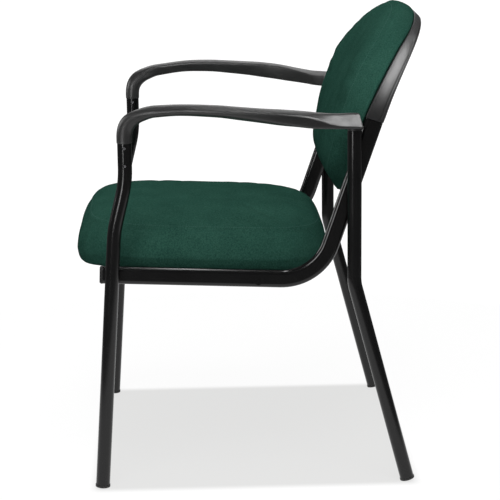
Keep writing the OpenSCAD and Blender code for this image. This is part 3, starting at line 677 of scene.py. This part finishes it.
def cushion(name, grid, seam, angles, start, finish, held, inset, most, material, seed):
    """A cushion on the given rings, with a sewn seam at ring `seam`.

    The simulation gives it its fine unevenness, at most `most` mm, where it isn't held.
    """
    rings, n, _ = grid.shape
    normals = grid_normals(grid)
    away = swell(name + "_form", grid, start, finish, held, inset)
    away = blur(away, 5, 2)
    away = away - blur(away, 40, 2)
    away = most * np.tanh(away / most) * (1 - held)
    # Distance of each ring from the seam, along the surface
    run = np.linalg.norm(np.diff(grid, axis=0), axis=2)
    run = np.vstack([np.zeros((1, n)), np.cumsum(run, axis=0)])
    gap = run - (run[seam - 1:seam] + run[seam:seam + 1]) / 2
    away = away * (1 - hump(gap, 1, 0, 14))
    # The thread draws the cloth in beside the seam, where its fold stands up a little, and the
    # band hangs a little slack below it
    tug = 0.8 + 0.35 * waves(seed, angles, 9, 9, 34)
    pull = hump(gap, 1, 7, 8) * tug - hump(gap, 0.6, -0.5, 2.0)
    slack = waves(seed + 1, angles, 6, 3, 11) * hump(gap, 1.3, -42, 26)
    offset = away - pull * (1 - held * 0.7) + slack * (1 - held)
    final = grid + normals * offset[..., None]
    finish = finish + normals[-1].mean(axis=0) * away[-1].mean()
    points, faces = closed_rings(final, start, finish)
    obj = new_object(name, new_mesh(name, points, faces), material)
    return obj, final


# Sections of a stitch: share of its length, size and rise as shares of the thread's thickness
STITCH = ((0, 0.35, -0.35), (0.25, 0.9, 0.1), (0.75, 0.9, 0.1), (1, 0.35, -0.35))
SIDES = 6


def stitches(name, line, out, material, pitch, length, thick):
    """A row of thread stitches on a closed line of points, each a short raised bar."""
    run = np.linalg.norm(np.roll(line, -1, axis=0) - line, axis=1)
    run = np.concatenate([[0], np.cumsum(run)])
    closed = np.vstack([line, line[:1]])
    out = np.vstack([out, out[:1]])
    count = int(run[-1] / pitch)
    points, faces = [], []
    for k in range(count):
        middle = (k + 0.5) * run[-1] / count
        ends = []
        for place in (middle - length / 2, middle + length / 2):
            ends.append(np.array([np.interp(place, run, closed[:, c]) for c in range(3)]))
        up = np.array([np.interp(middle, run, out[:, c]) for c in range(3)])
        up /= np.linalg.norm(up)
        along = (ends[1] - ends[0]) / np.linalg.norm(ends[1] - ends[0])
        side = np.cross(up, along)
        base = len(points)
        for t, size, rise in STITCH:
            centre = mix(ends[0], ends[1], t) + up * thick * rise
            for q in range(SIDES):
                turn = q * 2 * math.pi / SIDES
                rim = side * math.cos(turn) + up * math.sin(turn)
                points.append(centre + thick / 2 * size * rim)
        for i in range(len(STITCH) - 1):
            for q in range(SIDES):
                a, b = base + i * SIDES + q, base + i * SIDES + (q + 1) % SIDES
                faces.append((a, a + SIDES, b + SIDES, b))
        top = base + (len(STITCH) - 1) * SIDES
        faces.append(tuple(base + q for q in range(SIDES)))
        faces.append(tuple(top + q for q in reversed(range(SIDES))))
    return new_object(name, new_mesh(name, np.array(points), faces), material)


def held_rings(grid, free):
    """Which rings hold still: those on the board and under it fully, the next ones ever less."""
    held = np.zeros(grid.shape[:2])
    held[:6] = 1.0
    for k in range(6, free):
        held[k] = 1.0 - (k - 5) / (free - 5)
    return held


AROUND = 400
seat_angles = even_angles(seat_edge, AROUND)
grid, seam = seat_grid(seat_angles)
held = held_rings(grid, 16)
start = seat_point(np.array([0.0, SEAT_MID_Y]), np.array(BOARD_TOP + 0.3))
finish = seat_point(np.array([0.0, CREASE_MID_Y]), np.array(CROWN_H))
seat, seat_final = cushion("seat_upholstery", grid, seam, seat_angles, start, finish, held,
                           5.0, 1.2, seat_cloth, 11)

back_angles = even_angles(back_edge, AROUND)
grid, seam_back = back_grid(back_angles)
held = held_rings(grid, 18)
start = back_points(np.array([0.0, BACK_MID]), FOAM_DEPTH)
finish = back_points(np.array([0.0, BACK_MID]), -PANEL_CROWN + 1.5)
back, back_final = cushion("back_upholstery", grid, seam_back, back_angles, start, finish, held,
                           4.0, 1.0, back_cloth, 23)

# The thread's lighter colour is a painted highlight: it stands in for the light that catches the seam's
# ridge.
thread = fabric("seam_thread_painted_highlight", rgb(0.024, 0.066, 0.053), rgb(0.052, 0.12, 0.097), 0.5)


def seam_stitches(name, final, ring):
    return stitches(name, final[ring], grid_normals(final)[ring], thread, 3.4, 3.0, 0.9)


seat_thread = seam_stitches("seat_stitching", seat_final, seam + 2)
back_thread = seam_stitches("back_stitching", back_final, seam_back + 2)

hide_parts("seat_cushion")
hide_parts("back_cushion")
for piece in (seat, back, seat_thread, back_thread):
    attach(piece, "root")


# Armrests

# Each station of an arm holds, as in the part's source: y and z of the section plane's origin,
# its turn from level (0) to upright (90), inner and outer x, top inner and outer, bottom inner
# and outer as distances from the origin, corner size, how far the bottom corners are drawn in,
# and the x, distance and corner size of the crown between the two top edges.
SLEEVE_IN = 40.3
SLEEVE_OUT = 67.3
SLEEVE = [271.5, 298.5, SLEEVE_OUT, SLEEVE_OUT, SLEEVE_IN, SLEEVE_IN, 12.6, 0, 285, SLEEVE_OUT, 0.6]
ARM_STATIONS = np.array([
    [-163, 630.5, 0] + SLEEVE,
    [-163, 636, 0] + SLEEVE,
    [-163, 639, 12, 271.8, 299.3, 67, 67.2, 39.8, 40.4, 12.3, 0, 285.5, 67.6, 0.8],
    [-163, 639, 25, 272.5, 301.5, 65.2, 65.8, 38.4, 40, 11.5, 0.5, 287.5, 67.6, 2],
    [-163, 639, 37, 274, 305, 60, 62.4, 36.3, 39.6, 10, 1, 290.5, 66.2, 3.5],
    [-163, 639, 50, 276, 309.5, 55.8, 57.6, 34.4, 39, 8, 1.5, 294.5, 62.6, 5.5],
    [-163, 639, 63, 279, 314, 55, 53, 33, 38.6, 6.5, 2, 298.5, 59.6, 7.5],
    [-163, 639, 77, 282, 318, 54.4, 50.6, 33.2, 39.6, 5.5, 2.5, 301.5, 58.6, 8.5],
    [-160, 639, 90, 285, 322, 55.4, 50.6, 34.8, 40.8, 5, 3, 304.5, 59.5, 9],
    [-130, 639, 90, 295.5, 333.5, 57.5, 53.4, 38.3, 44.8, 4.5, 3, 315, 62.1, 9],
    [-105, 639, 90, 305, 344, 58.2, 55, 39.3, 46.7, 4.5, 3, 325, 63.4, 9],
    [-80, 639, 90, 311, 351, 57.8, 54.8, 38.5, 46.8, 4.5, 3, 331, 63.5, 9],
    [-50, 639, 90, 316, 357, 56.8, 53.9, 36.7, 45.6, 4.5, 3, 336.5, 62.4, 9],
    [-20, 639, 90, 320.5, 361.5, 54.9, 52.3, 32.9, 42.4, 4.5, 3, 341, 60, 9],
    [20, 639, 90, 324, 365, 52, 50.3, 27.7, 36.6, 4.5, 3, 344.5, 56.8, 9],
    [50, 639, 90, 323, 363.5, 50.2, 48.5, 23.1, 30.9, 4.5, 3, 343.5, 54.6, 9],
    [80, 639, 90, 317.5, 358.5, 47, 44.8, 19.2, 25.4, 4.3, 3, 338.5, 51.4, 9],
    [100, 639, 90, 310, 352.5, 43.9, 40.7, 16.8, 21, 4, 3, 333, 48.4, 8.5],
    [120, 639, 90, 300, 344, 39.4, 33.2, 15, 18.4, 3.6, 2.6, 325.5, 45.1, 8],
    [140, 639, 90, 287, 333.5, 34.8, 23.6, 13.4, 16.4, 2.8, 2.2, 316, 42.2, 7],
    [158, 639, 90, 274, 322, 31.6, 18.6, 11.6, 14.2, 2.2, 2, 305.5, 40.2, 6],
    [200, 639, 74, 264, 306, 32, 15, 9, 11.5, 1.8, 1, 293, 40.2, 5],
])
# What is added to the last and the first station to round off the arm's ends
ARM_END = np.array([1.5, 0, 0, 2, -2, -1.8, -1.2, 1.6, 0.8, -0.9, 0, 0, -2, -0.5])
ARM_START = np.array([0, -0.6, 0, 0.6, -0.6, -0.6, -0.6, 0.6, 0.6, 0, 0, 0, -0.6, 0])


# Weight of a rational curve's middle point that makes it an arc at a square corner
ARC_WEIGHT = 0.7071


def corner_points(a, p, b, r):
    """Points on a round corner at p between the edges to a and to b."""
    start = p + r * (a - p) / np.linalg.norm(a - p)
    end = p + r * (b - p) / np.linalg.norm(b - p)
    points = []
    for t in np.linspace(0, 1, 7):
        w = 2 * ARC_WEIGHT * t * (1 - t)
        k = (1 - t) ** 2 + w + t * t
        points.append(((1 - t) ** 2 * start + w * p + t * t * end) / k)
    return points


def arm_section(s, side):
    """One section of the arm, as the part's source draws it, with a slight crown on each face."""
    corners = ([s[3], s[5]], [s[11], s[12]], [s[4], s[6]], [s[4] - s[10], s[8]], [s[3] + s[10], s[7]])
    q = [np.array(p) for p in corners]
    sizes = (s[9], s[13], s[9], s[9], s[9])
    ring = []
    centre = sum(q) / 5
    for i in range(5):
        here = corner_points(q[(i + 4) % 5], q[i], q[(i + 1) % 5], sizes[i])
        after = corner_points(q[i], q[(i + 1) % 5], q[(i + 2) % 5], sizes[(i + 1) % 5])[0]
        ring += here
        out = np.array([(after - here[-1])[1], -(after - here[-1])[0]])
        size = np.linalg.norm(out)
        out = out / max(size, 1e-6)
        if np.dot(out, here[-1] - centre) < 0:
            out = -out
        for t in (0.25, 0.5, 0.75):
            ring.append(mix(here[-1], after, t) + out * 4 * t * (1 - t) * min(0.5, size * 0.012))
    turn = math.radians(s[2])
    ring = np.array(ring)
    return np.stack([side * ring[:, 0], s[0] - ring[:, 1] * math.cos(turn),
                     s[1] + ring[:, 1] * math.sin(turn)], axis=-1)


def arm_at(i, t):
    near = np.clip(np.arange(i - 1, i + 3), 0, len(ARM_STATIONS) - 1)
    return spline(*ARM_STATIONS[near], t)


def cylinder_points(x, y, z0, z1, radius, bevel=0.0, n=40):
    """Points and faces of an upright round plug with bevelled ends."""
    rim = radius - bevel
    steps = [(z0, 0.001), (z0, rim), (z0 + bevel, radius), (z1 - bevel, radius), (z1, rim), (z1, 0.001)]
    turn = np.arange(n) * 2 * math.pi / n
    grid = []
    for z, r in steps:
        grid.append(np.stack([x + r * np.cos(turn), y + r * np.sin(turn), np.full(n, z)], axis=-1))
    return closed_rings(np.array(grid), [x, y, z0], [x, y, z1])


def join(parts):
    """One set of points and faces from several."""
    points, faces, first = [], [], 0
    for p, f in parts:
        points.append(np.asarray(p))
        faces += [tuple(first + k for k in face) for face in f]
        first += len(p)
    return np.vstack(points), faces


# Plugs in the tubes of the legs, and the collar on the rear one, from and to these heights
SPIGOT_R = LEG_D / 2 - 2.3
FRONT_SPIGOT = (576, 645)
REAR_SPIGOT = (605, 657)
REAR_COLLAR = (645.3, 654.3)
ARM_STEPS = 6


def armrest(name, side):
    sections = [arm_section(ARM_STATIONS[0] + ARM_START, side)]
    last = len(ARM_STATIONS) - 1
    for i in range(last):
        for k in range(ARM_STEPS):
            sections.append(arm_section(arm_at(i, k / ARM_STEPS), side))
    for share in (0, 0.5, 1):
        sections.append(arm_section(ARM_STATIONS[last] + ARM_END * share, side))
    grid = np.array(sections)
    points, faces = join([
        closed_rings(grid, grid[0].mean(axis=0), grid[-1].mean(axis=0), flip=side < 0),
        cylinder_points(side * LEG_X, FRONT_POST_Y, *FRONT_SPIGOT, SPIGOT_R, 0.8),
        cylinder_points(side * LEG_X, REAR_POST_Y, *REAR_SPIGOT, SPIGOT_R, 0.8),
        cylinder_points(side * LEG_X, REAR_POST_Y, *REAR_COLLAR, LEG_D / 2, 0.5, 64),
    ])
    return new_object(name, new_mesh(name, points, faces, sharp=38), arm_plastic)


for side, word in ((1, "left"), (-1, "right")):
    arm = armrest("arm_pad_" + word, side)
    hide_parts("armrest_" + word)
    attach(arm, "root")


# Back shell

# Depths of the shell's rear face and of the groove round its side: in the middle, at the top
# and at the foot. The middle depth holds between MIDDLE_FROM and MIDDLE_TO.
REAR_DEPTHS = (68.0, 57.0, 45.0)
GROOVE_DEPTHS = (59.0, 52.0, 41.0)
MIDDLE_FROM = 640
MIDDLE_TO = 690
FOOT_RUN = 110


def back_depth(s, middle, top, foot):
    above = mix(middle, top, np.clip((s - MIDDLE_TO) / (SHELL_TOP - MIDDLE_TO), 0, 1))
    below = mix(middle, foot, np.clip((MIDDLE_FROM - s) / FOOT_RUN, 0, 1))
    return np.where(s > MIDDLE_TO, above, np.where(s < MIDDLE_FROM, below, middle))


def rear_depth(s):
    return back_depth(s, *REAR_DEPTHS)


def groove_depth(s):
    return back_depth(s, *GROOVE_DEPTHS)


# The shell's outline is an arch above its shoulders and a narrower skirt below them
SKIRT_HALF_W = 253
arch_angles = np.linspace(0, math.pi, 150)
skirt_angles = np.linspace(math.pi, 2 * math.pi, 110)
ABOVE_SKIRT = [0, 0.01]


def shell_line(w, half_w=BACK_HALF_W, n_up=2.0):
    """The shell's outline, drawn in by w all round."""
    arch = back_oval(arch_angles, half_w - w, SHELL_MID, SHELL_TOP - w, SHELL_FOOT, n_up, 2, 0)
    skirt = back_oval(skirt_angles, SKIRT_HALF_W - w, SHELL_MID, SHELL_TOP, SHELL_FOOT + w,
                      2, 2.3, 8)
    return np.vstack([arch + ABOVE_SKIRT, skirt])


def shell_ring(line, depth):
    """The line at a depth that depends on s; the step at the shoulders slopes up to the rear."""
    d = depth(line[:, 1])
    lift = 0.05 * (d - 50) * np.maximum(0, 1 - np.abs(line[:, 1] - SHELL_MID) / 60)
    return back_points(np.stack([line[:, 0], line[:, 1] + lift], axis=-1), d)


def scaled_line(line, k):
    return np.stack([line[:, 0] * k, mix(BACK_MID, line[:, 1], k)], axis=-1)


outline = shell_line(0)
cavity = shell_line(4, 256, 2.3)
WALL = 3.0
BULGE = 4.0
SHELL_SHARP = 50
shell_rings = []
# Inside face, and the inside of the rim
for k in (0.12, 0.3, 0.5, 0.7, 0.85, 0.97):
    line = scaled_line(cavity, k)
    shell_rings.append(shell_ring(line, lambda s: rear_depth(s) - WALL + BULGE * (1 - k * k)))
shell_rings.append(shell_ring(cavity, lambda s: rear_depth(s) - WALL - 3))
shell_rings.append(shell_ring(cavity, lambda s: LIP_DEPTH + 1.5 + lip_shift(s)))
# Rounded front lip, each ring with how far it is drawn in and how deep it lies
for w, d in ((2.4, 0.1), (1.6, 0.0), (0.7, 0.0), (0.2, 0.3), (0.0, 1.0)):
    shell_rings.append(shell_ring(shell_line(w), lambda s: LIP_DEPTH + d + lip_shift(s)))
# Shallow groove round the side
for w, d in ((0.0, -1.2), (0.25, -0.6), (1.3, -0.2), (1.5, 0.1), (1.2, 0.5), (0.45, 0.8), (0.3, 1.3)):
    shell_rings.append(shell_ring(shell_line(w), lambda s: groove_depth(s) + d))
# Rounded rear edge, from the groove to the rear face by the given share
for w, share, d in ((0.7, 0.35, 0), (1.4, 0.6, 0), (2.6, 0.8, 0),
                    (5, 1.0, -0.8), (8, 1.0, -0.25), (11, 1.0, 0.0)):
    ring = shell_ring(shell_line(w), lambda s: mix(groove_depth(s), rear_depth(s), share) + d)
    shell_rings.append(ring)
# Rear face
for k in (0.9, 0.75, 0.6, 0.45, 0.3, 0.15):
    line = scaled_line(outline, k)
    shell_rings.append(shell_ring(line, lambda s: rear_depth(s) + BULGE * (1 - k * k)))
middle = np.array([0.0, BACK_MID])
points, faces = closed_rings(
    np.array(shell_rings), back_points(middle, REAR_DEPTHS[0] - WALL + BULGE),
    back_points(middle, REAR_DEPTHS[0] + BULGE), flip=True)
shell_mesh = new_mesh("back_housing", points, faces, sharp=SHELL_SHARP)
shell = new_object("back_housing", shell_mesh, shell_plastic)


def back_frame(x, s):
    """Placing of a thing on the back's normal at x and s, its Z axis pointing to the rear."""
    at = back_points(np.array([x, s]), 0.0)
    turn = Matrix.Rotation(-math.pi / 2 - float(panel_angle(np.array(s))), 4, "X")
    return Matrix.Translation(Vector(metres(at))) @ turn


# Recesses for the heads of the four screws
SCREW_X = 120.0
SCREW_S = (605.0, 770.0)
RECESS = 2.5
RECESS_R = 4.75
cutters = []
for s in SCREW_S:
    for x in (-SCREW_X, SCREW_X):
        depth = float(rear_depth(np.array(s)))
        points, faces = cylinder_points(0, -CENTRING, depth - RECESS, depth + 12, RECESS_R, n=48)
        cutter = new_object("cutter", new_mesh("cutter", points, faces, smooth=False))
        cutter.matrix_world = back_frame(x, s)
        cutters.append(cutter)
bpy.context.view_layer.update()
bpy.context.view_layer.objects.active = shell
for cutter in cutters:
    cut = shell.modifiers.new("cut", "BOOLEAN")
    cut.object = cutter
    cut.operation = "DIFFERENCE"
    cut.solver = "EXACT"
    bpy.ops.object.modifier_apply(modifier=cut.name)
for cutter in cutters:
    bpy.data.objects.remove(cutter)
shell.data.set_sharp_from_angle(angle=math.radians(SHELL_SHARP))
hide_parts("back_shell")
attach(shell, "root")


# Cover under the seat, with its staples

COVER_TOP = 1.8


def cover():
    """A thin cloth that sags a little between its staples and puckers along its edge."""
    n = 160
    angles = even_angles(lambda a: seat_edge(a, -COVER_INSET), n)
    edge = seat_edge(angles, -COVER_INSET)
    middle = np.array([0.0, SEAT_MID_Y])
    rings = []
    for k in (0.985, 1.0):
        rings.append(seat_point(mix(middle, edge, k), COVER_TOP))
    for k in np.linspace(1.0, 0.03, 26):
        rim = np.clip((1 - k) / 0.08, 0, 1)
        lag = 0.35 * rim * (0.5 + 0.5 * np.sin(5 * angles + 3 * k)) * (1 - k) ** 0.3
        ripple = hump(k, 0.22, 0.96, 0.05) * np.sin(60 * angles)
        rings.append(seat_point(mix(middle, edge, k), 1.15 - lag + ripple))
    points, faces = closed_rings(np.array(rings), seat_point(middle, np.array(COVER_TOP)),
                                 seat_point(middle, np.array(0.8)), flip=True)
    cloth = new_object("seat_cover_cloth", new_mesh("seat_cover_cloth", points, faces), under_cloth)
    line = seat_point(mix(middle, edge, 0.975), 0.8)
    down = np.tile(np.array([0, 0, -1.0]), (n, 1))
    staples = stitches("cover_staples", line, down, plated, 42.0, 11.0, 0.8)
    return cloth, staples


cover_cloth, staples = cover()
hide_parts("seat_dust_cover")
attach(cover_cloth, "root")
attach(staples, "root")


# Finishes of the rigid nodes that stay: the first word that a node's name has decides

FINISHES = {
    "screws": plated, "leg": paint, "seat_rail": paint, "crossbar": paint,
    "rail_cap": cap_plastic, "glide": glide_plastic, "board": board_wood,
    "bolts": plated, "tee_nuts": plated,
}
for name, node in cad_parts.items():
    for word, material in FINISHES.items():
        if word in name:
            for place in node.material_slots:
                place.material = material
            if not node.material_slots:
                node.data.materials.append(material)
            break


# Camera, floor and light

CAMERA_AT = Vector((3.3016, -0.12188, 1.125))
LOOK = Vector((-0.97420708, 0.03649602, -0.22268498))
RIGHT = Vector((0.0399918, 0.99913715, -0.0112076))
UP = Vector((-0.2220838, 0.0198241, 0.97482603))
FOCAL_PX = 1756.784

camera_data = bpy.data.cameras.new("camera")
camera_data.sensor_width = 36
camera_data.lens = FOCAL_PX * 36 / 500
camera = bpy.data.objects.new("camera", camera_data)
scene.collection.objects.link(camera)
camera.matrix_world = Matrix.Translation(CAMERA_AT) @ Matrix((RIGHT, UP, -LOOK)).transposed().to_4x4()
scene.camera = camera


# A painted shadow: the grey patch between the feet, as axis, middle and half size in metres, and its soft
# edge
PAINTED_SHADOW = ((0, 0.0, 0.3), (1, -0.003, 0.287))
EDGE_IN = 0.012
EDGE_OUT = 0.02
FLOOR_HALF = 30


def floor():
    mesh = bpy.data.meshes.new("floor")
    h = FLOOR_HALF
    mesh.from_pydata([(-h, -h, 0), (h, -h, 0), (h, h, 0), (-h, h, 0)], [], [(0, 1, 2, 3)])
    f = Finish("floor_paper")

    def fade(distance, near, far, to_near, to_far):
        return f.add("ShaderNodeMapRange", distance, near, far, to_near, to_far,
                     interpolation_type="SMOOTHSTEP")

    parts = f.add("ShaderNodeSeparateXYZ", f.place)
    shadow_edges = []
    for axis, centre, half in PAINTED_SHADOW:
        away = f.math("ABSOLUTE", f.math("SUBTRACT", parts.node.outputs[axis], centre))
        shadow_edges.append(fade(away, half - EDGE_IN, half + EDGE_OUT, 1.0, 0.0))
    # The patch is a painted shadow: it darkens the floor's colour between the feet.
    patch = f.math("MULTIPLY", shadow_edges[0], shadow_edges[1])
    f.set("Base Color", f.blend(patch, rgb(0.5, 0.5, 0.5), rgb(0.4, 0.4, 0.4)))
    f.set("Roughness", 0.9)
    f.shader.inputs["Specular IOR Level"].default_value = 0.0
    # The camera sees plain white paper with a painted shadow between the feet: part of it is its own white,
    # so that shadows stay pale. Away from the chair it is all white. A reflection sees it bright near the
    # chair and dark further away.
    away = f.add("ShaderNodeVectorMath", f.place, operation="LENGTH", out=1)
    far = fade(away, 0.6, 1.3, 0.0, 1.0)
    ray = f.add("ShaderNodeLightPath").node
    seen = f.math("MAXIMUM", ray.outputs["Is Camera Ray"], ray.outputs["Is Transmission Ray"])
    own = f.math("MAXIMUM", far, 0.86)
    # The paper's own white, painted grey in the shadow patch.
    paper = f.blend(patch, WHITE, rgb(0.77, 0.77, 0.765))
    glow = f.add("ShaderNodeEmission", paper, 1.1)
    lit = f.add("ShaderNodeMixShader", f.math("MULTIPLY", own, seen), f.shader.outputs[0], glow)
    shine = f.add("ShaderNodeEmission", WHITE, fade(away, 0.95, 1.3, 0.95, 0.08))
    glossy = f.math("MULTIPLY", 0.85, ray.outputs["Is Glossy Ray"])
    both = f.add("ShaderNodeMixShader", glossy, lit, shine)
    f.tree.links.new(both, f.output.inputs[0])
    return new_object("floor", mesh, f.material)


ground = floor()


# Lamps. The first two light the chair; the others only show in its shiny surfaces.

def softbox(name, at, aim, width, height, power_w, soft=True, shine=True):
    """An area lamp that lights matt surfaces (soft), shows in shiny ones (shine), or both."""
    data = bpy.data.lights.new(name, "AREA")
    data.shape = "RECTANGLE"
    data.size = width
    data.size_y = height
    data.energy = power_w
    lamp = bpy.data.objects.new(name, data)
    lamp.location = at
    lamp.rotation_euler = (Vector(aim) - Vector(at)).to_track_quat("-Z", "Y").to_euler()
    lamp.visible_diffuse = soft
    lamp.visible_glossy = shine
    lamp.visible_camera = False
    scene.collection.objects.link(lamp)


softbox("overhead", (1.3, 0.1, 2.8), (0, 0, 0.45), 1.2, 1.3, 42, shine=False)
softbox("fill", (2.1, -0.8, 2.3), (0, 0, 0.45), 1.5, 1.1, 30, shine=False)
softbox("leg_streak", (1.47, -0.84, 0.9), (0.28, -0.24, 0.6), 0.36, 1.1, 11, soft=False)
softbox("rail_streak", (0.2, 0.0, 2.6), (0.28, 0, 0.4), 0.1, 1.8, 9, soft=False)
softbox("front_line", (-0.4, -2.2, 1.15), (0.27, 0.2, 0.5), 0.25, 0.9, 14, soft=False)
softbox("shell_shine", (0.62, 1.35, 1.78), (0.23, 0.2, 0.72), 1.9, 0.6, 40, soft=False)
softbox("far_glow", (-2.2, 0.0, 1.9), (0.3, 0, 0.7), 2.0, 1.4, 14, soft=False)

ROOM = 0.46
ROOM_SHINE = (0.12, 0.1)


def studio():
    """Even white light all round, which the camera sees as white and reflections see dim."""
    world = bpy.data.worlds.new("studio")
    world.use_nodes = True
    tree = world.node_tree
    tree.nodes.clear()

    def background(strength):
        node = tree.nodes.new("ShaderNodeBackground")
        node.inputs[0].default_value = WHITE
        if isinstance(strength, bpy.types.NodeSocket):
            tree.links.new(strength, node.inputs[1])
        else:
            node.inputs[1].default_value = strength
        return node.outputs[0]

    def join_nodes(kind, *inputs):
        node = tree.nodes.new(kind)
        for key, value in enumerate(inputs):
            tree.links.new(value, node.inputs[key])
        return node

    ray = tree.nodes.new("ShaderNodeLightPath").outputs
    seen = join_nodes("ShaderNodeMath", ray["Is Camera Ray"], ray["Is Transmission Ray"])
    seen.operation = "MAXIMUM"
    toward = tree.nodes.new("ShaderNodeTexCoord").outputs["Generated"]
    parts = join_nodes("ShaderNodeSeparateXYZ", toward)
    level = join_nodes("ShaderNodeMapRange", parts.outputs[0])
    level.inputs["From Min"].default_value = -0.5
    level.inputs["From Max"].default_value = 0.55
    level.inputs["To Min"].default_value = ROOM_SHINE[0]
    level.inputs["To Max"].default_value = ROOM_SHINE[1]
    inside = join_nodes("ShaderNodeMixShader", ray["Is Glossy Ray"], background(ROOM),
                        background(level.outputs[0]))
    shown = join_nodes("ShaderNodeMixShader", seen.outputs[0], inside.outputs[0], background(1.0))
    join_nodes("ShaderNodeOutputWorld", shown.outputs[0])
    return world


scene.world = studio()
scene.view_settings.view_transform = "Standard"
